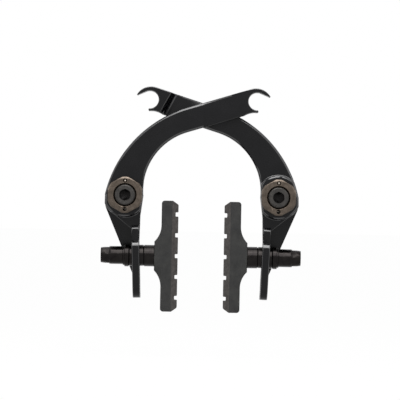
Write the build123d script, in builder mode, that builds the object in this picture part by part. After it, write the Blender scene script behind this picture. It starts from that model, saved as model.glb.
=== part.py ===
from build123d import *
from math import asin, cos, degrees, hypot, radians, sin, sqrt, tan
import os

# A U brake: two arms that cross like scissors above the tyre and turn on two posts of the frame.
# Millimetres. Z is up, the front faces -Y, and Y = 0 is the frame face that the posts stand on.
# The origin is midway between the posts. Each piece is drawn for the left side, about its own
# post, and the right side is its mirror image. "Depth" is the distance in front of Y = 0.

# Frame posts
post_spacing = 76.0
post_d = 9.0
post_length = 15.3

# Arm: depths of its layers
arm_back = 0.5
boss_depth = 15.0
layer_thickness = 4.8
layer_gap = 0.3
hook_back = 5.6

# Arm: outline seen from the front
boss_d = 22.0
boss_inset = 0.08
boss_outer = 10.08
boss_inner = 8.89
outer_radius = 58.8
inner_radius = 30.5
hook_angle = 17.2
edge_bevel = 0.7

# Straight end of the arm and its cable hook, measured along and across that end
bar_top = 32.94
bar_width = 11.77
cradle_along = 75.8
cradle_across = 26.2
cradle_d = 8.8
cradle_start = 50.0
cradle_sweep = 200.0
horn_start = 74.6
horn_radius = 8.3
horn_tip_angle = 14.0
horn_reach = 4.3
horn_slope = 40.0
horn_bulge = 0.3
beak_thickness = 1.3
beak_root = 8.3
neck_along = 71.6
neck_rise = 0.35
step_along = 65.6
step_slant = 11.0
step_radius = 1.8
step_draft = 2.2
cable_slot = 2.2

# Spring cup and bushing inside the boss
cup_d = 16.2
cup_depth = 7.3
bushing_wall = 1.0
fit_clearance = 0.05

# Tension nut
nut_across_flats = 17.0
nut_corner_d = 18.0
nut_face_d = 16.4
nut_cone = 30.0
nut_head = 4.2
nut_gap = 0.2
nut_start = 0.1
sleeve_wall = 1.35
spring_hole_radius = 7.05
recess_bevel = 0.6

# Torsion spring
wire_d = 1.7
wire_sides = 6
spring_turns = 1.5
spring_pitch = 3.1
tang_reach = 9.7
leg_inset = 0.35
wire_clearance = 0.15
wire_flat = 0.03

# Pivot bolt, M6
bolt_d = 6.0
bolt_neck_d = 5.3
bolt_neck = 2.6
bolt_head_d = 10.0
bolt_head = 3.3
bolt_length = 18.0
bolt_seat = 2.0
bolt_bevel = 0.4
bolt_clearance = 0.1
head_clearance = 0.25
socket_across_flats = 5.0
socket_depth = 2.6

# Slotted pad plate and web of the arm
ball_across = 5.75
stud_drop = 30.0
stud_depth = 9.8
plate_lean = 2.1
plate_thickness = 3.7
plate_front = 16.0
plate_top = 22.4
plate_bottom = 51.0
plate_end_radius = 6.0
slot_length = 19.3
slot_width = 6.6
ledge_front = 12.5
ledge_top = 15.0
column_front = 10.0
ridge_start = (-8.7, -6.9)
ridge_drop = 1.5
waist = (7.6, -10.0)
web_thickness = 3.1
web_corner = (-10.2, -5.5)
web_corner_radius = 7.0
web_meets_plate = 39.5
web_blend_radius = 15.0

# Ball seat washers
stud_d = 6.0
ball_seat_gap = 0.12
seat_groove = 0.5
convex_d = 10.5
convex_hole_d = 7.2
inner_convex_rim = 1.9
outer_convex_rim = 1.1
collar_d = 10.7
collar_thickness = 4.95
outer_concave_d = 11.1
outer_concave_thickness = 2.1
washer_hole_d = 6.2
flat_washer_d = 9.8
flat_washer_thickness = 0.85

# Sleeve nut
sleeve_nut_length = 11.0
sleeve_nut_d = 8.9
sleeve_nut_tip_d = 7.4
sleeve_nut_taper = 5.0
sleeve_nut_flats = 7.9
sleeve_nut_shoulder = 0.7
sleeve_nut_socket = 4.0

# Brake pad
pad_length = 55.0
pad_width = 10.5
pad_end_thickness = 8.25
pad_thickness = 11.6
pad_boss_height = 14.4
pad_flare_height = 8.0
pad_corner_radius = 1.5
pad_chamfer_height = 2.0
pad_chamfer_depth = 2.8
strip_thickness = 3.0
strip_bevel = 0.9
notch_pitch = 10.35
notch_width = 2.1
notch_depth = 1.4
notch_count = 5

# Pad stud and the plate moulded into the rubber
backing_length = 44.0
backing_width = 7.0
backing_thickness = 1.5
backing_cover = 5.2
stud_end_gap = 0.4

# Values worked out from those above
boss_front = arm_back + boss_depth
front_layer_back = boss_front - layer_thickness
rear_layer_back = front_layer_back - layer_gap - layer_thickness
sleeve_bore_r = post_d / 2 + fit_clearance
sleeve_r = sleeve_bore_r + sleeve_wall
bushing_bore_r = sleeve_r + fit_clearance
bushing_r = bushing_bore_r + bushing_wall
cup_floor = boss_front - cup_depth
wire_room = wire_d + 2 * wire_clearance
coil_start = cup_floor + wire_room / 2
nut_back = boss_front + nut_gap
nut_front = nut_back + nut_head
bolt_seat_front = post_length + bolt_seat
lean = radians(plate_lean)
bar_low = bar_top - bar_width

# Distances along the stud, away from the ball centre: towards the pad, and towards the sleeve nut
inner_ball_r = hypot(plate_thickness / 2 + inner_convex_rim, convex_d / 2)
outer_ball_r = hypot(plate_thickness / 2 + outer_convex_rim, convex_d / 2)
collar_start = plate_thickness / 2 + inner_convex_rim + seat_groove
outer_concave_start = plate_thickness / 2 + outer_convex_rim + seat_groove
flat_washer_start = outer_concave_start + outer_concave_thickness
sleeve_nut_start = flat_washer_start + flat_washer_thickness
sleeve_nut_end = sleeve_nut_start + sleeve_nut_length
pad_boss_face = collar_start + collar_thickness
pad_face = pad_boss_face + pad_thickness
pad_back = pad_face - pad_end_thickness
backing_back = pad_boss_face + backing_cover
stud_end = sleeve_nut_end - sleeve_nut_socket - stud_end_gap


def hook_point(along, across):
    """A point given along and across the straight end of the arm, about the post's axis."""
    angle = radians(hook_angle)
    return (along * cos(angle) - across * sin(angle), along * sin(angle) + across * cos(angle))


def edge_arc(bar_edge, radius, beside_post):
    """The arc that leaves the post's level at beside_post and runs into an edge of the straight end."""
    angle = radians(hook_angle)
    rise = bar_edge - radius + beside_post * sin(angle)
    along = beside_post * cos(angle) + sqrt(radius**2 - rise**2)
    centre = hook_point(along, bar_edge - radius)
    return CenterArc(centre, radius, 90 + hook_angle, 90 - hook_angle + degrees(asin(centre[1] / radius)))


def plate_x(side, z):
    """Where the leaning pad plate's outer (-1) or inner (+1) face is at this height."""
    return ball_across + side * plate_thickness / 2 / cos(lean) - (z + stud_drop) * tan(lean)


# Upper outline of both arms: two arcs that run straight into the cable hook
with BuildSketch() as upper_outline:
    with BuildLine():
        outer_edge = edge_arc(bar_top, outer_radius, -boss_outer)
        inner_edge = edge_arc(bar_low, inner_radius, boss_inner)
        horn = CenterArc(
            hook_point(horn_start, bar_top - horn_radius),
            horn_radius,
            hook_angle + horn_tip_angle,
            90 - horn_tip_angle,
        )
        cradle_centre = hook_point(cradle_along, cradle_across)
        cradle = CenterArc(cradle_centre, cradle_d / 2, hook_angle + cradle_start, cradle_sweep)
        horn_inside = PolarLine(cradle @ 0, horn_reach, hook_angle - horn_slope)
        horn_tip = (horn @ 0 + horn_inside @ 1) / 2 - (horn % 0) * horn_bulge
        ThreePointArc(horn @ 0, horn_tip, horn_inside @ 1)
        beak_low = cradle @ 1 - Vector(0, beak_thickness).rotate(Axis.Z, hook_angle)
        beak_end = (cradle @ 1 + beak_low) / 2 + Vector(beak_thickness / 2, 0).rotate(Axis.Z, hook_angle)
        ThreePointArc(cradle @ 1, beak_end, beak_low)
        beak_start = hook_point(cradle_along - beak_root, bar_low)
        ThreePointArc(beak_low, hook_point(neck_along, bar_low + neck_rise), beak_start)
        Line(beak_start, inner_edge @ 0)
        Line(outer_edge @ 0, horn @ 1)
        Line(inner_edge @ 1, outer_edge @ 1)
    make_face()

# Lower outline: the web runs down from the boss and blends into the pad plate
with BuildSketch() as lower_outline:
    with BuildLine():
        Polyline(
            outer_edge @ 1,
            web_corner,
            (plate_x(-1, -web_meets_plate), -web_meets_plate),
            (plate_x(-1, -plate_bottom), -plate_bottom),
            (plate_x(1, -plate_bottom), -plate_bottom),
            (plate_x(1, -plate_top), -plate_top),
            waist,
            inner_edge @ 1,
            close=True,
        )
    make_face()
    corners = lower_outline.vertices()
    web_end = (plate_x(-1, -web_meets_plate), -web_meets_plate)
    fillet(corners.sort_by_distance(web_corner)[0], radius=web_corner_radius)
    fillet(corners.sort_by_distance(web_end)[0], radius=web_blend_radius)

with BuildSketch() as whole_outline:
    add(upper_outline.sketch)
    add(lower_outline.sketch)

with BuildSketch() as boss_outline:
    add(whole_outline.sketch)
    offset(amount=-boss_inset)
    Circle(boss_d / 2, mode=Mode.INTERSECT)

# Upper outline up to the hook's slanted step
step_angle = radians(hook_angle + step_slant)
step_middle = hook_point(step_along, bar_top - bar_width / 2)
with BuildSketch() as body_outline:
    add(upper_outline.sketch)
    with Locations(Location(step_middle, hook_angle + step_slant)):
        Rectangle(
            2 * cradle_along,
            2 * cradle_along,
            align=(Align.MIN, Align.CENTER),
            mode=Mode.SUBTRACT,
        )

# The column that carries the pad plate in front of the web
with BuildSketch() as column_outline:
    with BuildLine():
        Polyline(
            ridge_start,
            (plate_x(-1, -ledge_top), -ledge_top - ridge_drop),
            (plate_x(-1, -plate_top), -plate_top),
            (plate_x(1, -plate_top), -plate_top),
            waist,
            inner_edge @ 1,
            (0, 0),
            close=True,
        )
    make_face()

# Planes: the slotted plate's middle, the same through the ball centre, one square to the stud,
# and one across the arm at the step
plate_normal = (cos(lean), 0, sin(lean))
ball_centre = (ball_across, -stud_depth, -stud_drop)
plate_plane = Plane((ball_across, 0, -stud_drop), x_dir=(0, 1, 0), z_dir=plate_normal)
ball_plane = Plane(ball_centre, x_dir=(0, 1, 0), z_dir=plate_normal)
stud_plane = Plane(ball_centre, x_dir=(0, 1, 0), z_dir=(1, 0, 0))
step_plane = Plane(
    (step_middle[0], 0, step_middle[1]),
    x_dir=(cos(step_angle), 0, sin(step_angle)),
    z_dir=(-sin(step_angle), 0, cos(step_angle)),
)


def forged_arm(layer_back):
    """One arm about its own post, with its upper body in the layer whose back is at this depth."""
    layer_front = layer_back + layer_thickness
    in_front = layer_back == front_layer_back
    inner_face, outer_face = (layer_back, layer_front) if in_front else (layer_front, layer_back)
    far_face = hook_back if in_front else boss_front
    mid_layer = (layer_back + layer_front) / 2

    # Hook: both layers deep, beyond a step that slants across the arm
    with BuildPart() as hook:
        with BuildSketch(step_plane):
            with BuildLine():
                Polyline(
                    (-2 * step_radius, -inner_face),
                    (0, -inner_face),
                    (step_draft, -far_face),
                    (cradle_along, -far_face),
                    (cradle_along, -outer_face),
                    (0, -outer_face),
                    (0, -mid_layer),
                    (-2 * step_radius, -mid_layer),
                    close=True,
                )
            profile = make_face()
            fillet(profile.vertices().sort_by_distance((0, -inner_face))[0], radius=step_radius)
        extrude(amount=2 * cradle_across, both=True)
        with BuildSketch(Plane.XZ.offset(hook_back)):
            add(upper_outline.sketch)
        extrude(amount=boss_front - hook_back, mode=Mode.INTERSECT)

        # Slot for the cable through the middle of the horn
        with BuildSketch(Plane.XZ.offset((hook_back + boss_front - cable_slot) / 2)):
            with BuildLine():
                Polyline(
                    hook_point(horn_start, cradle_across),
                    hook_point(horn_start, bar_top + cradle_d),
                    hook_point(horn_start + 2 * cradle_d, bar_top + cradle_d),
                    hook_point(horn_start + 2 * cradle_d, cradle_across),
                    close=True,
                )
            make_face()
        extrude(amount=cable_slot, mode=Mode.SUBTRACT)

    # Upper body in one layer, with its long edges bevelled
    with BuildPart() as body:
        with BuildSketch(Plane.XZ.offset(layer_back)):
            add(body_outline.sketch)
        extrude(amount=layer_thickness)
        chamfer(body.edges().filter_by(lambda edge: edge.length > bar_width * 1.5), length=edge_bevel)

    # Boss around the post, with its front edge bevelled
    with BuildPart() as boss:
        with BuildSketch(Plane.XZ.offset(arm_back)):
            add(boss_outline.sketch)
        extrude(amount=boss_depth)
        chamfer(boss.faces().sort_by(Axis.Y)[0].edges(), length=edge_bevel)

    with BuildPart() as arm:
        add(body.part)
        add(hook.part)
        add(boss.part)

        # Web and column
        with BuildSketch(Plane.XZ.offset(arm_back)):
            add(lower_outline.sketch)
        extrude(amount=web_thickness)
        with BuildSketch(Plane.XZ.offset(arm_back)):
            add(column_outline.sketch)
        extrude(amount=column_front - arm_back)

        # Slotted pad plate, drawn from its side with its two ledges
        with BuildSketch(plate_plane):
            with BuildLine():
                low, high = stud_drop - plate_bottom, stud_drop - plate_top
                ledge = stud_drop - ledge_top
                Polyline(
                    (-arm_back, low),
                    (-plate_front, low),
                    (-plate_front, high),
                    (-ledge_front, high),
                    (-ledge_front, ledge),
                    (-arm_back, ledge),
                    close=True,
                )
            side = make_face()
            fillet(side.vertices().sort_by_distance((-plate_front, low))[0], radius=plate_end_radius)
            with Locations((-stud_depth, (slot_width - slot_length) / 2)):
                SlotOverall(slot_length, slot_width, rotation=90, mode=Mode.SUBTRACT)
        extrude(amount=plate_thickness / 2, both=True)

        # Spring cup, bushing bore and the slot for the spring's tang
        with BuildSketch(Plane.XZ.offset(cup_floor)):
            Circle(cup_d / 2)
        extrude(amount=cup_depth, mode=Mode.SUBTRACT)
        with BuildSketch(Plane.XZ.offset(arm_back)):
            Circle(bushing_r)
        extrude(amount=boss_depth, mode=Mode.SUBTRACT)
        slot_reach = tang_reach + 2 * wire_clearance
        with BuildSketch(Plane.XZ.offset(cup_floor)):
            with Locations((0, -slot_reach / 2)):
                Rectangle(wire_room, slot_reach)
        extrude(amount=wire_room, mode=Mode.SUBTRACT)
    return arm.part


# Pivot bushing, pressed into the boss behind the spring cup
with BuildPart() as bushing:
    with BuildSketch(Plane.XZ.offset(arm_back)):
        Circle(bushing_r)
        Circle(bushing_bore_r, mode=Mode.SUBTRACT)
    extrude(amount=cup_floor - arm_back)

# Tension nut: the hexagon in front and the long sleeve that turns on the post
with BuildPart() as tension_nut:
    with BuildSketch(Plane.XZ.offset(nut_back)):
        RegularPolygon(nut_across_flats / 2, 6, major_radius=False, rotation=90)
        Circle(nut_corner_d / 2, mode=Mode.INTERSECT)
    extrude(amount=nut_head)
    with Locations(Plane.XZ.offset(nut_back)):
        Cone(
            nut_face_d / 2 + nut_head / tan(radians(nut_cone)),
            nut_face_d / 2,
            nut_head,
            align=(Align.CENTER, Align.CENTER, Align.MIN),
            mode=Mode.INTERSECT,
        )
    with BuildSketch(Plane.XZ.offset(nut_start)):
        Circle(sleeve_r)
    extrude(amount=nut_back - nut_start)
    with BuildSketch(Plane.XZ.offset(nut_start)):
        Circle(sleeve_bore_r)
    extrude(amount=post_length - nut_start, mode=Mode.SUBTRACT)
    with BuildSketch(Plane.XZ.offset(post_length)):
        Circle(bolt_d / 2 + bolt_clearance)
    extrude(amount=bolt_seat, mode=Mode.SUBTRACT)
    with BuildSketch(Plane.XZ.offset(bolt_seat_front)):
        Circle(bolt_head_d / 2 + head_clearance)
    extrude(amount=nut_head, mode=Mode.SUBTRACT)
    face_edges = tension_nut.faces().sort_by(Axis.Y)[0].edges()
    chamfer(face_edges.sort_by(SortBy.RADIUS)[0], length=recess_bevel)
    with BuildSketch(Plane.XZ.offset(nut_back)):
        with Locations((0, spring_hole_radius), (0, -spring_hole_radius)):
            Circle(wire_d / 2 + wire_clearance)
    extrude(amount=nut_head, mode=Mode.SUBTRACT)

# Torsion spring: a tang down into the arm, the coil, and a leg forward into the nut's upper hole
with BuildPart() as spring:
    coil_height = spring_turns * spring_pitch
    coil_centre = (0, -coil_start, 0)
    with BuildLine():
        coil = Helix(
            spring_pitch, coil_height, spring_hole_radius, center=coil_centre, direction=(0, -1, 0)
        )
    with BuildSketch(Plane(coil @ 0, x_dir=(0, 0, 1), z_dir=coil % 0)):
        RegularPolygon(wire_d / 2, wire_sides, rotation=180 / wire_sides)
    sweep(path=coil, is_frenet=True)
    with BuildSketch(Plane(coil @ 0, z_dir=(0, 0, -1)).offset(-wire_d / 4)):
        RegularPolygon(wire_d / 2 - wire_flat, wire_sides)
    extrude(amount=wire_d / 4 + tang_reach - spring_hole_radius)
    with BuildSketch(Plane(coil @ 1, z_dir=(0, -1, 0)).offset(-wire_d / 4)):
        RegularPolygon(wire_d / 2 - wire_flat, wire_sides)
    extrude(amount=wire_d / 4 + nut_front - leg_inset - coil_start - coil_height)

# Pivot bolt with its hexagon socket
with BuildPart() as pivot_bolt:
    with BuildSketch(Plane.XZ.offset(bolt_seat_front)):
        Circle(bolt_head_d / 2)
    extrude(amount=bolt_head)
    chamfer(pivot_bolt.faces().sort_by(Axis.Y)[0].edges(), length=bolt_bevel)
    with BuildSketch(Plane.XZ.offset(bolt_seat_front)):
        Circle(bolt_neck_d / 2)
    extrude(amount=-bolt_neck)
    with BuildSketch(Plane.XZ.offset(bolt_seat_front - bolt_length)):
        Circle(bolt_d / 2)
    extrude(amount=bolt_length - bolt_neck)
    with BuildSketch(Plane.XZ.offset(bolt_seat_front + bolt_head - socket_depth)):
        RegularPolygon(socket_across_flats / 2, 6, major_radius=False, rotation=90)
    extrude(amount=socket_depth, mode=Mode.SUBTRACT)

# Convex washers: flat on the slotted plate, with parts of balls about one centre
with BuildPart() as inner_convex:
    with BuildSketch(ball_plane):
        Circle(convex_d / 2)
        Circle(convex_hole_d / 2, mode=Mode.SUBTRACT)
    extrude(amount=inner_ball_r)
    with Locations(ball_plane):
        Sphere(inner_ball_r, mode=Mode.INTERSECT)
    split(bisect_by=ball_plane.offset(plate_thickness / 2), keep=Keep.TOP)

with BuildPart() as outer_convex:
    with BuildSketch(ball_plane):
        Circle(convex_d / 2)
        Circle(convex_hole_d / 2, mode=Mode.SUBTRACT)
    extrude(amount=-outer_ball_r)
    with Locations(ball_plane):
        Sphere(outer_ball_r, mode=Mode.INTERSECT)
    split(bisect_by=ball_plane.offset(-plate_thickness / 2), keep=Keep.BOTTOM)

# Concave pieces, square to the stud: the thick collar by the pad and the washer by the nut
with BuildPart() as collar:
    with BuildSketch(stud_plane.offset(collar_start)):
        Circle(collar_d / 2)
        Circle(washer_hole_d / 2, mode=Mode.SUBTRACT)
    extrude(amount=collar_thickness)
    with Locations(stud_plane):
        Sphere(inner_ball_r + ball_seat_gap, mode=Mode.SUBTRACT)

with BuildPart() as outer_concave:
    with BuildSketch(stud_plane.offset(-outer_concave_start)):
        Circle(outer_concave_d / 2)
        Circle(washer_hole_d / 2, mode=Mode.SUBTRACT)
    extrude(amount=-outer_concave_thickness)
    with Locations(stud_plane):
        Sphere(outer_ball_r + ball_seat_gap, mode=Mode.SUBTRACT)

with BuildPart() as flat_washer:
    with BuildSketch(stud_plane.offset(-flat_washer_start)):
        Circle(flat_washer_d / 2)
        Circle(washer_hole_d / 2, mode=Mode.SUBTRACT)
    extrude(amount=-flat_washer_thickness)

# Sleeve nut: round, with a tapered hexagon end and a hexagon socket
with BuildPart() as sleeve_nut:
    with BuildSketch(stud_plane.offset(-sleeve_nut_start)):
        Circle(sleeve_nut_d / 2)
    extrude(amount=sleeve_nut_taper - sleeve_nut_length)
    with BuildSketch(stud_plane.offset(sleeve_nut_taper - sleeve_nut_end)):
        Circle(sleeve_nut_d / 2)
    with BuildSketch(stud_plane.offset(-sleeve_nut_end)):
        Circle(sleeve_nut_tip_d / 2)
    loft()
    with BuildSketch(stud_plane.offset(-sleeve_nut_end)):
        Circle(sleeve_nut_d)
        RegularPolygon(sleeve_nut_flats / 2, 6, major_radius=False, mode=Mode.SUBTRACT)
    extrude(amount=sleeve_nut_taper - sleeve_nut_shoulder, mode=Mode.SUBTRACT)
    with BuildSketch(stud_plane.offset(-sleeve_nut_end)):
        RegularPolygon(socket_across_flats / 2, 6, major_radius=False)
    extrude(amount=sleeve_nut_socket, mode=Mode.SUBTRACT)
    with BuildSketch(stud_plane.offset(sleeve_nut_socket - sleeve_nut_end)):
        Circle(stud_d / 2 + fit_clearance)
    extrude(amount=sleeve_nut_length - sleeve_nut_socket, mode=Mode.SUBTRACT)

# Brake pad rubber: its outline from the front, cut to the bevelled section seen from above
with BuildPart() as pad_rubber:
    with BuildSketch(Plane(ball_centre, x_dir=(1, 0, 0), z_dir=(0, -1, 0))) as pad_outline:
        with BuildLine():
            end_z = pad_length / 2
            boss_z = pad_boss_height / 2
            flare_z = boss_z + pad_flare_height
            Line((pad_boss_face, 0), (pad_boss_face, boss_z))
            TangentArc((pad_back, flare_z), (pad_boss_face, boss_z), tangent=(0, -1))
            Polyline(
                (pad_back, flare_z),
                (pad_back, end_z),
                (pad_face - pad_chamfer_depth, end_z),
                (pad_face, end_z - pad_chamfer_height),
                (pad_face, 0),
            )
            mirror(about=Plane.XZ)
        make_face()
        for corner in ((pad_back, -end_z), (pad_back, end_z)):
            fillet(pad_outline.vertices().sort_by_distance(corner)[0], radius=pad_corner_radius)
    extrude(amount=pad_width / 2, both=True)
    with BuildSketch(Plane(ball_centre)):
        with BuildLine():
            half = pad_width / 2
            Polyline(
                (0, half),
                (pad_face - strip_thickness, half),
                (pad_face, half - strip_bevel),
                (pad_face, strip_bevel - half),
                (pad_face - strip_thickness, -half),
                (0, -half),
                close=True,
            )
        make_face()
    extrude(amount=pad_length, both=True, mode=Mode.INTERSECT)
    with BuildSketch(stud_plane.offset(pad_face)):
        with GridLocations(0, notch_pitch, 1, notch_count):
            Rectangle(pad_width, notch_width)
    extrude(amount=-notch_depth, mode=Mode.SUBTRACT)
    with BuildSketch(stud_plane.offset(backing_back)):
        RectangleRounded(backing_width, backing_length, radius=backing_width / 3)
    extrude(amount=backing_thickness, mode=Mode.SUBTRACT)
    with BuildSketch(stud_plane.offset(pad_boss_face)):
        Circle(stud_d / 2)
    extrude(amount=backing_cover, mode=Mode.SUBTRACT)

# Pad stud, with the steel plate that is moulded into the rubber
with BuildPart() as pad_stud:
    with BuildSketch(stud_plane.offset(backing_back)):
        RectangleRounded(backing_width, backing_length, radius=backing_width / 3)
    extrude(amount=backing_thickness)
    with BuildSketch(stud_plane.offset(-stud_end)):
        Circle(stud_d / 2)
    extrude(amount=backing_back + stud_end)

# Each piece for both sides: moved to the left post, and mirrored for the right
pieces = {
    "pivot_bushing": (bushing.part, bushing.part),
    "tension_nut": (tension_nut.part, tension_nut.part),
    "spring": (spring.part, spring.part),
    "pivot_bolt": (pivot_bolt.part, pivot_bolt.part),
    "pad_rubber": (pad_rubber.part, pad_rubber.part),
    "pad_stud": (pad_stud.part, pad_stud.part),
    "pad_collar": (collar.part, collar.part),
    "inner_convex_washer": (inner_convex.part, inner_convex.part),
    "outer_convex_washer": (outer_convex.part, outer_convex.part),
    "outer_concave_washer": (outer_concave.part, outer_concave.part),
    "flat_washer": (flat_washer.part, flat_washer.part),
    "sleeve_nut": (sleeve_nut.part, sleeve_nut.part),
    "arm": (forged_arm(front_layer_back), forged_arm(rear_layer_back)),
}
os.makedirs("parts", exist_ok=True)
for name, (for_left, for_right) in pieces.items():
    left = for_left.moved(Location((-post_spacing / 2, 0, 0)))
    left.label = "left_" + name
    export_step(left, f"parts/{left.label}.step")
    right = mirror(for_right.moved(Location((-post_spacing / 2, 0, 0))), about=Plane.YZ)
    right.label = "right_" + name
    export_step(right, f"parts/{right.label}.step")
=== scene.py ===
import math

import bmesh
import bpy
import numpy as np
from mathutils import Matrix, Vector


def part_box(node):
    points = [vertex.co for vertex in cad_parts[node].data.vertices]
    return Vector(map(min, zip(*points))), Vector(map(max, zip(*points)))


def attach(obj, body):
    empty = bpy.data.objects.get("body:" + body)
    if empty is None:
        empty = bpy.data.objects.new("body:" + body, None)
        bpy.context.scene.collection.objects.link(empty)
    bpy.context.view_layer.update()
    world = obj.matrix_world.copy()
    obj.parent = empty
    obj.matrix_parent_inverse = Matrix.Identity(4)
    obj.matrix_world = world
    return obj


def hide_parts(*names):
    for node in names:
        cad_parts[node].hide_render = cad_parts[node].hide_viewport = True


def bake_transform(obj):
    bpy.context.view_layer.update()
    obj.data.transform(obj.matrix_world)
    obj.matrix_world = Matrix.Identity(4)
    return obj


# The U brake's looks. Sizes are millimetres, turned to metres by MM; +Z up, the front faces -Y.
# The right side mirrors the left, so side pieces are worked out once with a sign for X.
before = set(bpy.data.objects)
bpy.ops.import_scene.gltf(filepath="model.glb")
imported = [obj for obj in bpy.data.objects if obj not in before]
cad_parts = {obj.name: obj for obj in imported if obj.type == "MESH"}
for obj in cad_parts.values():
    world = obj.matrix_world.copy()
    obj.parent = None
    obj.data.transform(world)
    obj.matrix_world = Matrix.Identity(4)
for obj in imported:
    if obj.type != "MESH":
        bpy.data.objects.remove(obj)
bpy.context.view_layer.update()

MM = 0.001
SIDES = (("left", -1), ("right", 1))

# Sizes shared with the CAD model
POST_X = 38.0
BOLT_THREAD_R = 3.0
BOLT_THREAD_END = 14.7
BOLT_THREAD_PITCH = 1.0
WIRE_D = 1.7
COIL_R = 7.05
COIL_START = 9.2
COIL_TURNS = 1.5
COIL_PITCH = 3.1
TANG_REACH = 9.7
WIRE_END = 19.55
STUD_R = 3.0
STUD_THREAD_PITCH = 1.0
PAD_PLATE_BACK_X = 18.0

# The pad plate's two ledges: how far in front of the frame, how far below the post, and the
# radius that rounds them
PLATE_LEDGES = ((16.0, 22.4, 3.3), (12.5, 15.0, 2.2))
LEDGE_SLACK = 0.2

# The spring's two lengths, along its line: the tang's ends where TANG_PIECE_END says and the coil's
# starts inside it, with a thinner wire. The coil winds up from LAP_DEPTH in front of its start
TANG_PIECE_END = 11.3
COIL_PIECE_START = 5.4
LAP_D = 1.45
EASING_POINTS = 7
WIRE_SIDES = 20

# A rolled thread's profile, as shares of its pitch: how deep it is, half its crest, its flank
THREAD_DEPTH = 0.61
HALF_CREST = 0.12
FLANK = 0.7

# Corners nearer than MERGE become one, faces that turn by less than FLAT are joined, and an edge
# that turns by more than SHARP is rounded where there is room for ROOM_RADII times its radius
MERGE = 0.06
FLAT = math.radians(1.5)
SHARP = math.radians(28)
CREASE = math.radians(40)
ROOM_RADII = 2.2

# Cosines between edges: under SQUARE one lies across the other, over ALONG it lies on its line
SQUARE = 0.5
ALONG = 0.8

# A face leans from the front while the Y part of its normal is between LEANS_LEAST and LEANS_MOST,
# and then it takes the shinier edge finish, a painted highlight, unless it looks down by more than
# LOOKS_DOWN
LEANS_LEAST = 0.1
LEANS_MOST = 0.97
LOOKS_DOWN = -0.3


def colour(hex_value):
    """An sRGB hex colour turned to linear RGBA."""
    srgb = [int(hex_value[i:i + 2], 16) / 255 for i in (1, 3, 5)]
    return [c / 12.92 if c <= 0.04045 else ((c + 0.055) / 1.055) ** 2.4 for c in srgb] + [1.0]


def add_node(tree, kind, inputs=None, **settings):
    """One node with its settings. Each input is a constant or another node's output."""
    node = tree.nodes.new(kind)
    for name, value in settings.items():
        setattr(node, name, value)
    for socket, value in (inputs or {}).items():
        if isinstance(value, bpy.types.NodeSocket):
            tree.links.new(value, node.inputs[socket])
        else:
            node.inputs[socket].default_value = value
    return node


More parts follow.
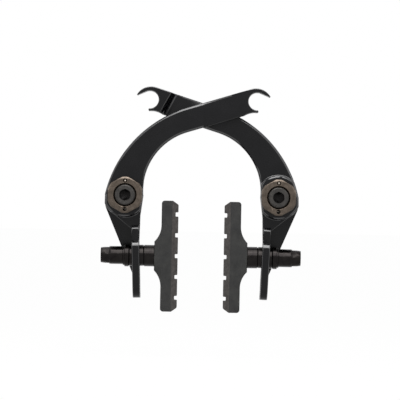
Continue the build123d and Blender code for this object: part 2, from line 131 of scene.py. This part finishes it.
class Finish:
    """A material under way: its nodes, its shader and the object coordinates it reads."""

    def __init__(self, name, **shader_values):
        self.material = bpy.data.materials.new(name)
        self.material.use_nodes = True
        self.tree = self.material.node_tree
        self.tree.nodes.clear()
        constants = {socket.replace("_", " "): value for socket, value in shader_values.items()}
        self.shader = self.add("ShaderNodeBsdfPrincipled", constants)
        self.add("ShaderNodeOutputMaterial", {"Surface": self.shader.outputs["BSDF"]})
        self.place = self.add("ShaderNodeTexCoord").outputs["Object"]
        split = self.add("ShaderNodeSeparateXYZ", {"Vector": self.place})
        self.x, self.z = split.outputs["X"], split.outputs["Z"]

    def add(self, kind, inputs=None, **settings):
        return add_node(self.tree, kind, inputs, **settings)

    def drive(self, socket, source):
        self.tree.links.new(source, self.shader.inputs[socket])

    def drift(self, size_mm, low, high, detail=2.0):
        """A number that drifts between low and high over cells about size_mm across."""
        cells = {"Vector": self.place, "Scale": 1 / (size_mm * MM), "Detail": detail}
        noise = self.add("ShaderNodeTexNoise", cells).outputs["Fac"]
        limits = {"From Min": 0.3, "From Max": 0.7, "To Min": low, "To Max": high}
        return self.add("ShaderNodeMapRange", {"Value": noise, **limits}).outputs["Result"]

    def mottle(self, size_mm, dark, light, detail=2.0):
        """A colour that drifts between two hex tones over cells about size_mm across."""
        tones = {"Factor": self.drift(size_mm, 0.0, 1.0, detail), 6: colour(dark), 7: colour(light)}
        return self.add("ShaderNodeMix", tones, data_type="RGBA").outputs[2]

    def within(self, distance, near_mm, far_mm, inner, outer):
        """The inner colour up to near_mm along a distance in metres, and the outer from far_mm."""
        limits = {"From Min": near_mm * MM, "From Max": far_mm * MM, "To Min": 1.0, "To Max": 0.0}
        share = self.add("ShaderNodeMapRange", {"Value": distance, **limits}).outputs["Result"]
        tones = {"Factor": share, 6: outer, 7: inner}
        return self.add("ShaderNodeMix", tones, data_type="RGBA").outputs[2]

    def from_post(self):
        """Distance in metres from the axis of the nearer post, for turned and headed faces: the
        length of how far a point is beside the post and above it."""
        side = self.add("ShaderNodeMath", {0: self.x}, operation="ABSOLUTE").outputs[0]
        beside = self.add("ShaderNodeMath", {0: side, 1: POST_X * MM}, operation="SUBTRACT").outputs[0]
        offset = self.add("ShaderNodeCombineXYZ", {"X": beside, "Z": self.z}).outputs["Vector"]
        return self.add("ShaderNodeVectorMath", {0: offset}, operation="LENGTH").outputs["Value"]

    def relief(self, height, height_mm):
        """Relief of a real height from a 0 to 1 value, on top of the relief so far."""
        inputs = {"Height": height, "Distance": height_mm * MM}
        for link in self.shader.inputs["Normal"].links:
            inputs["Normal"] = link.from_socket
        self.drive("Normal", self.add("ShaderNodeBump", inputs).outputs["Normal"])

    def grain(self, size_mm, height_mm, detail=2.0):
        """Relief whose cells are about size_mm across."""
        cells = {"Vector": self.place, "Scale": 1 / (size_mm * MM), "Detail": detail}
        self.relief(self.add("ShaderNodeTexNoise", cells).outputs["Fac"], height_mm)

    def turning_marks(self, distance, spacing_mm, height_mm):
        """Relief in rings this far apart along a distance in metres: its height is a sine of the
        distance over the spacing."""
        rate = 2 * math.pi / (spacing_mm * MM)
        turns = self.add("ShaderNodeMath", {0: distance, 1: rate}, operation="MULTIPLY").outputs[0]
        wave = self.add("ShaderNodeMath", {0: turns}, operation="SINE").outputs[0]
        limits = {"From Min": -1.0, "From Max": 1.0}
        share = self.add("ShaderNodeMapRange", {"Value": wave, **limits}).outputs["Result"]
        self.relief(share, height_mm)


def black_anodised_aluminium(name, shine):
    """Forged aluminium, tumbled and dyed black when anodised."""
    # A glassy oxide skin over a near-black body, satin with a slight waviness left by tumbling and
    # a fine etched grain. shine is set higher for the edges, a painted highlight, so that each rounded
    # edge shows as a thin light line around the black faces
    made = Finish(name, Metallic=0.0, IOR=1.5, Specular_IOR_Level=shine)
    made.drive("Base Color", made.mottle(11.0, "#08080a", "#0e0e10"))
    made.drive("Roughness", made.drift(4.0, 0.2, 0.28, detail=4.0))
    made.grain(2.6, 0.008)
    made.grain(0.3, 0.001, detail=3.0)
    return made.material


def bronzed_steel():
    """Turned hexagon steel with a brown-black chemical finish."""
    # Warm grey-brown satin metal, cloudy where the finish took unevenly and even in the recess of
    # the bolt head, with fine turning rings around the post, 0.4 mm apart so that they show
    made = Finish("bronzed_steel", Metallic=1.0)
    face = made.mottle(2.2, "#4a433c", "#5f564e", detail=4.0)
    made.drive("Base Color", made.within(made.from_post(), 5.9, 6.3, colour("#5a5149"), face))
    made.drive("Roughness", made.drift(0.9, 0.3, 0.42))
    made.turning_marks(made.from_post(), 0.4, 0.003)
    made.grain(0.25, 0.003)
    return made.material


def black_screw_steel():
    """Cold-headed screw steel, blackened and lightly oiled."""
    # Dull charcoal with a faint grey bloom and the rough skin that heading leaves, and painted
    # darker in the socket: painted shade for the shadow that falls in it
    made = Finish("black_screw_steel", Metallic=1.0)
    head = made.mottle(1.4, "#373635", "#454341", detail=3.0)
    # Painted shade: within 2.7 mm of the post's axis the colour turns nearly black, which darkens the
    # socket and also the roots of the thread
    made.drive("Base Color", made.within(made.from_post(), 2.7, 3.0, colour("#1d1c1c"), head))
    made.drive("Roughness", made.drift(0.7, 0.42, 0.56))
    made.turning_marks(made.from_post(), 0.5, 0.003)
    made.grain(0.3, 0.008)
    return made.material


def black_oxide_steel():
    """Bar-turned steel with an oiled black oxide finish, as on washers and sleeve nuts."""
    # Black-brown mirror-like satin: dark face, one clear highlight along its top, and turning
    # marks around the stud, drawn 0.35 mm apart so that they show
    made = Finish("black_oxide_steel", Metallic=1.0)
    made.drive("Base Color", made.mottle(2.5, "#1e1c1c", "#262423"))
    made.drive("Roughness", made.drift(1.1, 0.2, 0.27))
    made.turning_marks(made.x, 0.35, 0.0015)
    return made.material


def drawn_spring_wire():
    """Hard-drawn spring steel wire, bright."""
    # Bright grey with fine die marks
    made = Finish("drawn_spring_wire", Metallic=1.0)
    made.drive("Base Color", made.mottle(0.8, "#a49c92", "#c6beb4"))
    made.drive("Roughness", made.drift(0.4, 0.24, 0.36))
    made.grain(0.15, 0.004)
    return made.material


def zinc_plated_steel():
    """Rolled screw steel, plated with zinc."""
    # Pale blue-grey metal with a faint crystalline mottle
    made = Finish("zinc_plated_steel", Metallic=1.0)
    made.drive("Base Color", made.mottle(1.2, "#93959a", "#b3b4b6"))
    made.drive("Roughness", made.drift(0.5, 0.3, 0.42))
    made.grain(0.2, 0.003)
    return made.material


def turned_bearing_bronze():
    """Bearing bronze, turned."""
    # Dull yellow-brown metal with turning rings 0.3 mm apart
    made = Finish("turned_bearing_bronze", Metallic=1.0)
    made.drive("Base Color", made.mottle(1.5, "#7f6239", "#a3814e"))
    made.drive("Roughness", made.drift(0.6, 0.34, 0.46))
    made.turning_marks(made.from_post(), 0.3, 0.004)
    return made.material


def moulded_pad_rubber():
    """Filled brake rubber, compression moulded."""
    # Matt charcoal with a dusty bloom and the sandy skin of a blasted mould; the strip by the rim
    # is painted paler, which is painted light, as it is the same rubber as the rest of the pad
    made = Finish("moulded_pad_rubber", Metallic=0.0, IOR=1.5, Specular_IOR_Level=0.16)
    body = made.mottle(5.0, "#2b2b2b", "#363635", detail=4.0)
    painted_light_strip = made.mottle(1.6, "#393635", "#494644", detail=4.0)
    from_rim = made.add("ShaderNodeMath", {0: made.x}, operation="ABSOLUTE").outputs[0]
    # Painted light: the strip nearer the rim takes the paler mottle
    made.drive("Base Color", made.within(from_rim, 14.35, 14.55, painted_light_strip, body))
    made.drive("Roughness", made.drift(3.0, 0.6, 0.75))
    made.grain(0.45, 0.05, detail=4.0)
    return made.material


ANODISED = black_anodised_aluminium("black_anodised_aluminium", 0.2)
# A shinier copy of the same finish for the rounded edges: a painted highlight that draws them as thin
# light lines
PAINTED_EDGE_SHEEN = black_anodised_aluminium("black_anodised_painted_edge_sheen", 0.9)
BRONZED = bronzed_steel()
SCREW_BLACK = black_screw_steel()
OXIDE = black_oxide_steel()
WIRE = drawn_spring_wire()
ZINC = zinc_plated_steel()
BRONZE = turned_bearing_bronze()
RUBBER = moulded_pad_rubber()


def finish_piece(made, node, body, slot, *materials):
    """Puts a piece in the place of a CAD node, on its body, with its finish: one material, or one
    for its faces and one for its rounded edges."""
    for material in materials:
        made.data.materials.append(material)
    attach(made, body)
    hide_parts(node)


def new_object(name, mesh):
    made = bpy.data.objects.new(name, mesh)
    bpy.context.scene.collection.objects.link(made)
    return made


def has_room(edge, radius):
    """Whether a rounding of this radius fits along an edge: what lies across from it on its two
    faces is far enough away, and it isn't at the point of a wedge. Neighbours that carry its own
    line on, as along an arc, don't count, and those at a slant need only a quarter of the room."""
    start, end = (vertex.co for vertex in edge.verts)
    along = (end - start).normalized()
    needed = ROOM_RADII * radius
    for other in {other for face in edge.link_faces for other in face.edges} - {edge}:
        first, last = (vertex.co for vertex in other.verts)
        shared = set(other.verts) & set(edge.verts)
        if shared:
            corner = shared.pop()
            away, beside = (line.other_vert(corner).co - corner.co for line in (edge, other))
            turn = away.normalized().dot(beside.normalized())
            if turn > SQUARE or (turn > -SQUARE and beside.length < needed):
                return False
            continue
        for point, foot, reach in (
            (start, first, last - first), (end, first, last - first),
            (first, start, end - start), (last, start, end - start),
        ):
            share = min(max((point - foot).dot(reach) / reach.length_squared, 0.0), 1.0)
            across = foot + share * reach - point
            slant = abs(across.normalized().dot(along))
            if slant < ALONG and across.length < (needed if slant < SQUARE else needed / 4):
                return False
    return True


def rounded_piece(name, node, radius_mm, cut=None, middle=None, ledges=(), painted_sheen=False):
    """The CAD piece with its edges rounded. Its triangles are merged and its flat faces joined in
    a copy, and cut gives the plane (point, normal) beyond which that copy is left out and closed.
    Three planes through its middle part each face that has a hole into plain ones. A Bevel rounds
    every sharp edge that has room for it. With the last flag set, its rounded faces, and those that
    already lean from the front without looking down much, take the second material: the shinier
    copy that paints a highlight on them."""
    shape = bmesh.new()
    shape.from_mesh(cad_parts[node].data)
    bmesh.ops.remove_doubles(shape, verts=shape.verts, dist=MERGE * MM)
    if cut:
        point, normal = cut
        geometry = shape.verts[:] + shape.edges[:] + shape.faces[:]
        sliced = bmesh.ops.bisect_plane(
            shape, geom=geometry, plane_co=Vector(point) * MM, plane_no=normal, clear_outer=True
        )
        rim = [edge for edge in sliced["geom_cut"] if isinstance(edge, bmesh.types.BMEdge)]
        bmesh.ops.edgeloop_fill(shape, edges=rim)
    bmesh.ops.remove_doubles(shape, verts=shape.verts, dist=MERGE * MM)
    bmesh.ops.dissolve_limit(
        shape, angle_limit=FLAT, verts=shape.verts, edges=shape.edges, delimit=set()
    )
    lowest, highest = (Vector(corner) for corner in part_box(node))
    centre = Vector(middle) * MM if middle else (lowest + highest) / 2
    for normal in ((1, 0, 0), (0, 1, 0), (0, 0, 1)):
        geometry = shape.verts[:] + shape.edges[:] + shape.faces[:]
        bmesh.ops.bisect_plane(
            shape, geom=geometry, dist=MERGE * MM, plane_co=centre, plane_no=normal
        )
    for depth, drop, radius in ledges:
        ledge = Vector((-depth, -drop)) * MM
        corner = [
            edge for edge in shape.edges
            if all((vertex.co.yz - ledge).length < LEDGE_SLACK * MM for vertex in edge.verts)
        ]
        bmesh.ops.bevel(shape, geom=corner, offset=radius * MM, segments=8, profile=0.5, affect="EDGES")
    weight = shape.edges.layers.float.new("bevel_weight_edge")
    for edge in shape.edges:
        sharp = len(edge.link_faces) == 2 and edge.calc_face_angle() > SHARP
        edge[weight] = 1.0 if sharp and has_room(edge, radius_mm * MM) else 0.0
    # With the flag set, faces that lean from the front and don't look down take the second material, a
    # painted highlight
    for face in shape.faces:
        leans = LEANS_LEAST < abs(face.normal.y) < LEANS_MOST and face.normal.z > LOOKS_DOWN
        face.material_index = int(painted_sheen and leans)
    mesh = bpy.data.meshes.new(name)
    shape.to_mesh(mesh)
    shape.free()
    mesh.shade_smooth()
    mesh.set_sharp_from_angle(angle=SHARP)
    made = new_object(name, mesh)
    bevel = made.modifiers.new("rounded_edges", "BEVEL")
    # With the flag set, the rounded faces take the second material, a painted highlight
    bevel.material = int(painted_sheen)
    bevel.width = radius_mm * MM
    bevel.segments = 3
    bevel.limit_method = "WEIGHT"
    bevel.use_clamp_overlap = False
    bevel.harden_normals = True
    return made


def skin(name, rings):
    """A closed mesh over rings of points in millimetres, (along, around, 3), with a flat end at each
    end of the run."""
    along, around, _ = rings.shape
    index = np.arange(along * around).reshape(along, around)
    beside = np.roll(index, -1, axis=1)
    quads = np.stack([index[:-1], beside[:-1], beside[1:], index[1:]], axis=-1).reshape(-1, 4)
    mesh = bpy.data.meshes.new(name)
    ends = [index[0, ::-1].tolist(), index[-1].tolist()]
    mesh.from_pydata((rings.reshape(-1, 3) * MM).tolist(), [], quads.tolist() + ends)
    shape = bmesh.new()
    shape.from_mesh(mesh)
    bmesh.ops.recalc_face_normals(shape, faces=shape.faces)
    shape.to_mesh(mesh)
    shape.free()
    mesh.shade_smooth()
    mesh.set_sharp_from_angle(angle=CREASE)
    return new_object(name, mesh)


def threaded_rod(name, start, end, radius, pitch):
    """A rolled screw thread along a line. At distance s along the rod and angle a around it, the
    radius is the crest radius less the thread depth times a wave of s / pitch - a / (2 pi), whose
    flanks are straight and whose crest and root are rounded off; both ends taper by one pitch."""
    start, end = np.array(start, float), np.array(end, float)
    length = np.linalg.norm(end - start)
    direction = (end - start) / length
    side = np.cross(direction, (0.0, 0.0, 1.0))
    side /= np.linalg.norm(side)
    up = np.cross(side, direction)
    s = np.linspace(0.0, length, int(length / pitch * 12))[:, None]
    a = np.linspace(0.0, 2 * np.pi, 40, endpoint=False)[None, :]
    saw = np.abs((s / pitch - a / (2 * np.pi)) % 1.0 - 0.5) * 2
    flank = np.clip((saw - HALF_CREST) / FLANK, 0.0, 1.0)
    taper = np.clip(1.0 - np.minimum(s, length - s) / pitch, 0.0, 1.0)
    r = radius - THREAD_DEPTH * pitch * np.maximum(flank, taper)
    around = np.cos(a)[..., None] * side + np.sin(a)[..., None] * up
    return skin(name, start + s[..., None] * direction + r[..., None] * around)


def spring_wire(name, sign, first=0.0, last=None):
    """A round wire carried along the spring's line: up its tang, COIL_TURNS round the post, and
    forward into the nut, or the length of it from first to last millimetres along the line. The
    line's corners are eased by a running mean, and each end is domed: within one wire radius of an
    end the wire's radius follows a quarter circle. A length that starts inside the coil is thinner
    up to TANG_PIECE_END, where the tang's own length laps over it. The wire's section starts from
    the Y axis, and from 60 to 70 % of the line it swings over to the line out from the post."""
    turn = np.linspace(0.0, COIL_TURNS, 160)
    angle = 2 * np.pi * turn
    coil = np.stack(
        [COIL_R * np.sin(angle), COIL_START + COIL_PITCH * turn, -COIL_R * np.cos(angle)], axis=-1
    )
    tang = np.linspace((0.0, COIL_START, -TANG_REACH), coil[0], 24)[:-1]
    leg = np.linspace(coil[-1], (0.0, WIRE_END, COIL_R), 30)[1:]
    line = np.concatenate([tang, coil, leg])
    spare = EASING_POINTS // 2
    padded = np.concatenate([line[:1]] * spare + [line] + [line[-1:]] * spare)
    mean = np.full(EASING_POINTS, 1 / EASING_POINTS)
    eased = np.stack([np.convolve(padded[:, i], mean, "valid") for i in range(3)], axis=-1)
    steps = np.concatenate([[0.0], np.cumsum(np.linalg.norm(np.diff(eased, axis=0), axis=1))])
    radius = WIRE_D / 2
    dome = radius * (1 - np.cos(np.linspace(0.0, np.pi / 2, 7)))
    last = last or steps[-1]
    run = np.linspace(first + radius, last - radius, int(3 * (last - first)))
    stations = np.concatenate([first + dome[:-1], run, last - dome[-2::-1]])
    centre = np.stack([np.interp(stations, steps, eased[:, i]) for i in range(3)], axis=-1)
    tangent = np.gradient(centre, stations, axis=0)
    tangent /= np.linalg.norm(tangent, axis=1, keepdims=True)
    outward = np.stack([centre[:, 0], np.zeros(len(centre)), centre[:, 2]], axis=-1) / COIL_R
    share = np.clip((stations - 0.6 * steps[-1]) / (0.1 * steps[-1]), 0.0, 1.0)[:, None]
    across = (1 - share) * np.array([0.0, 1.0, 0.0]) + share * outward
    across -= np.sum(across * tangent, axis=1, keepdims=True) * tangent
    across /= np.linalg.norm(across, axis=1, keepdims=True)
    beside = np.cross(tangent, across)
    from_end = np.minimum(stations - first, last - stations)
    wire_r = np.sqrt(np.clip(radius**2 - np.clip(radius - from_end, 0.0, radius) ** 2, 1e-4, None))
    if first > 0:
        lap = TANG_PIECE_END - 1.0, TANG_PIECE_END
        wire_r = wire_r * np.interp(stations, lap, (LAP_D / WIRE_D, 1.0))
    a = np.linspace(0.0, 2 * np.pi, WIRE_SIDES, endpoint=False)
    around = np.cos(a)[None, :, None] * across[:, None] + np.sin(a)[None, :, None] * beside[:, None]
    rings = centre[:, None] + wire_r[:, None, None] * around
    place = np.stack([sign * (POST_X - rings[..., 0]), -rings[..., 1], rings[..., 2]], axis=-1)
    return skin(name, place)


def dress_side(side, sign):
    """Every piece of one side: rounded forged arm, tension nut, bolt, spring, washers and pad."""
    # Pieces that only need their edges rounded: node, body, slot, material, radius
    plain = (
        ("pivot_bushing", "brake_arm", "bushing", BRONZE, 0.15),
        ("tension_nut", "tension", "tension_nut", BRONZED, 0.16),
        ("pad_rubber", "pad", "pad_rubber", RUBBER, 0.35),
        ("pad_collar", "cups", "washer_black", OXIDE, 0.25),
        ("outer_concave_washer", "cups", "washer_black", OXIDE, 0.2),
        ("inner_convex_washer", "slider", "washer_black", OXIDE, 0.12),
        ("outer_convex_washer", "slider", "washer_black", OXIDE, 0.12),
        ("flat_washer", "pad", "washer_black", OXIDE, 0.15),
        ("sleeve_nut", "pad", "sleeve_nut", OXIDE, 0.2),
    )
    for piece, body, slot, material, radius in plain:
        node = f"{side}_{piece}"
        made = rounded_piece(f"{node}_finished", node, radius)
        finish_piece(made, node, f"{side}_{body}", slot, material)

    post = sign * POST_X
    # The arm's rounded edges and leaning faces take the shinier copy of its finish, a painted highlight
    arm = rounded_piece(
        f"{side}_arm_finished", f"{side}_arm", 0.35, middle=(0, 0, 0), ledges=PLATE_LEDGES,
        painted_sheen=True,
    )
    finish_piece(arm, f"{side}_arm", f"{side}_brake_arm", "arm_anodised", ANODISED, PAINTED_EDGE_SHEEN)

    bolt = f"{side}_pivot_bolt"
    head = rounded_piece(f"{bolt}_head", bolt, 0.15, cut=((post, -BOLT_THREAD_END, 0), (0, 1, 0)))
    finish_piece(head, bolt, "frame_side", "bolt_black", SCREW_BLACK)
    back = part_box(bolt)[1][1] / MM
    ends = (post, back, 0), (post, -BOLT_THREAD_END, 0)
    thread = threaded_rod(f"{bolt}_thread", *ends, BOLT_THREAD_R, BOLT_THREAD_PITCH)
    finish_piece(thread, bolt, "frame_side", "bolt_black", SCREW_BLACK)

    # The arm carries the spring's tang round the coil's own circle, and the coil winds up between
    # the frame and the nut
    tang = spring_wire(f"{side}_spring_tang", sign, last=TANG_PIECE_END)
    finish_piece(tang, f"{side}_spring", f"{side}_brake_arm", "spring_wire", WIRE)
    coil = spring_wire(f"{side}_spring_coil", sign, first=COIL_PIECE_START)
    coil.data.materials.append(WIRE)
    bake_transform(coil)
    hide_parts(f"{side}_spring")

    stud = f"{side}_pad_stud"
    lowest, highest = (np.array(corner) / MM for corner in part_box(stud))
    depth, height = (lowest[1] + highest[1]) / 2, (lowest[2] + highest[2]) / 2
    plate_x = sign * PAD_PLATE_BACK_X
    plate = rounded_piece(f"{stud}_plate", stud, 0.2, cut=((plate_x, 0, 0), (sign, 0, 0)))
    finish_piece(plate, stud, f"{side}_pad", "stud_steel", ZINC)
    tip = lowest[0] if sign < 0 else highest[0]
    ends = (tip, depth, height), (plate_x, depth, height)
    rod = threaded_rod(f"{stud}_thread", *ends, STUD_R, STUD_THREAD_PITCH)
    finish_piece(rod, stud, f"{side}_pad", "stud_steel", ZINC)


for side, sign in SIDES:
    dress_side(side, sign)


def seen_rays(tree):
    """1 for a ray from the camera, a reflection or a pane of glass, otherwise 0."""
    path = add_node(tree, "ShaderNodeLightPath").outputs
    seen = path["Is Camera Ray"]
    for kind in ("Is Glossy Ray", "Is Transmission Ray"):
        seen = add_node(tree, "ShaderNodeMath", {0: seen, 1: path[kind]}, operation="MAXIMUM").outputs[0]
    return seen


def pale_floor(height_mm, half_mm, share_white):
    """A pale floor below the lowest reach of the pads."""
    mesh = bpy.data.meshes.new("floor")
    corners = np.array([(-1, -1), (1, -1), (1, 1), (-1, 1)]) * half_mm
    points = np.column_stack([corners, np.full(4, height_mm)]) * MM
    mesh.from_pydata(points.tolist(), [], [(0, 1, 2, 3)])
    made = bpy.data.materials.new("white_paper_sweep")
    made.use_nodes = True
    tree = made.node_tree
    tree.nodes.clear()
    # Matt white paper: lit, it keeps a faint shadow, and the camera sees it almost pure white
    paper = add_node(tree, "ShaderNodeBsdfDiffuse", {"Color": colour("#f2f2f2")})
    glow = add_node(tree, "ShaderNodeEmission", {"Color": colour("#ffffff"), "Strength": 1.0})
    seen = {0: seen_rays(tree), 1: share_white}
    share = add_node(tree, "ShaderNodeMath", seen, operation="MULTIPLY").outputs[0]
    mix = add_node(tree, "ShaderNodeMixShader", {0: share, 1: paper.outputs[0], 2: glow.outputs[0]})
    add_node(tree, "ShaderNodeOutputMaterial", {"Surface": mix.outputs[0]})
    mesh.materials.append(made)
    new_object("floor", mesh)


def white_world(fill_strength):
    """White where it is seen, and a soft even fill as light."""
    world = bpy.data.worlds.new("white_studio")
    bpy.context.scene.world = world
    world.use_nodes = True
    tree = world.node_tree
    tree.nodes.clear()
    white, fill = (
        add_node(tree, "ShaderNodeBackground", {"Color": colour("#ffffff"), "Strength": strength})
        for strength in (1.0, fill_strength)
    )
    parts = {0: seen_rays(tree), 1: fill.outputs[0], 2: white.outputs[0]}
    mix = add_node(tree, "ShaderNodeMixShader", parts)
    add_node(tree, "ShaderNodeOutputWorld", {"Surface": mix.outputs[0]})


def softbox(name, place_mm, aim_mm, size_mm, power):
    """A square area lamp at a place, turned to its aim."""
    lamp = bpy.data.lights.new(name, "AREA")
    lamp.size = size_mm * MM
    lamp.energy = power
    made = new_object(name, lamp)
    direction = Vector(aim_mm) - Vector(place_mm)
    made.rotation_euler = direction.to_track_quat("-Z", "Y").to_euler()
    made.location = Vector(place_mm) * MM


pale_floor(-80.0, 6000.0, 0.985)
white_world(0.2)
softbox("overhead_softbox", (-40, -110, 420), (-10, -10, 10), 320, 1.4)
softbox("top_front_softbox", (0, -430, 410), (0, 0, 0), 420, 2.5)
softbox("left_softbox", (-640, -260, 170), (0, 0, 0), 240, 0.6)
softbox("right_softbox", (640, -260, 230), (0, 0, 0), 240, 0.6)


def photo_camera(distance_mm=1500.0, mm_per_px=0.4936, aim_x=-0.87, aim_z=-1.88, roll_degrees=1.1):
    """The camera in front of the brake, level, with the photograph's slight roll. Scale and aim
    hold at the depth of the nuts' front faces."""
    front_faces_y = -20.0
    image_px = 400
    data = bpy.data.cameras.new("camera")
    data.sensor_width = 36.0
    data.lens = data.sensor_width * distance_mm / (image_px * mm_per_px)
    data.clip_start = 0.01
    made = new_object("camera", data)
    level = Matrix.Rotation(math.radians(90), 4, "X")
    roll = Matrix.Rotation(math.radians(roll_degrees), 4, "Z")
    place = Vector((aim_x, front_faces_y - distance_mm, aim_z)) * MM
    made.matrix_world = Matrix.Translation(place) @ level @ roll
    bpy.context.scene.camera = made


photo_camera()
bpy.context.scene.view_settings.view_transform = "Standard"
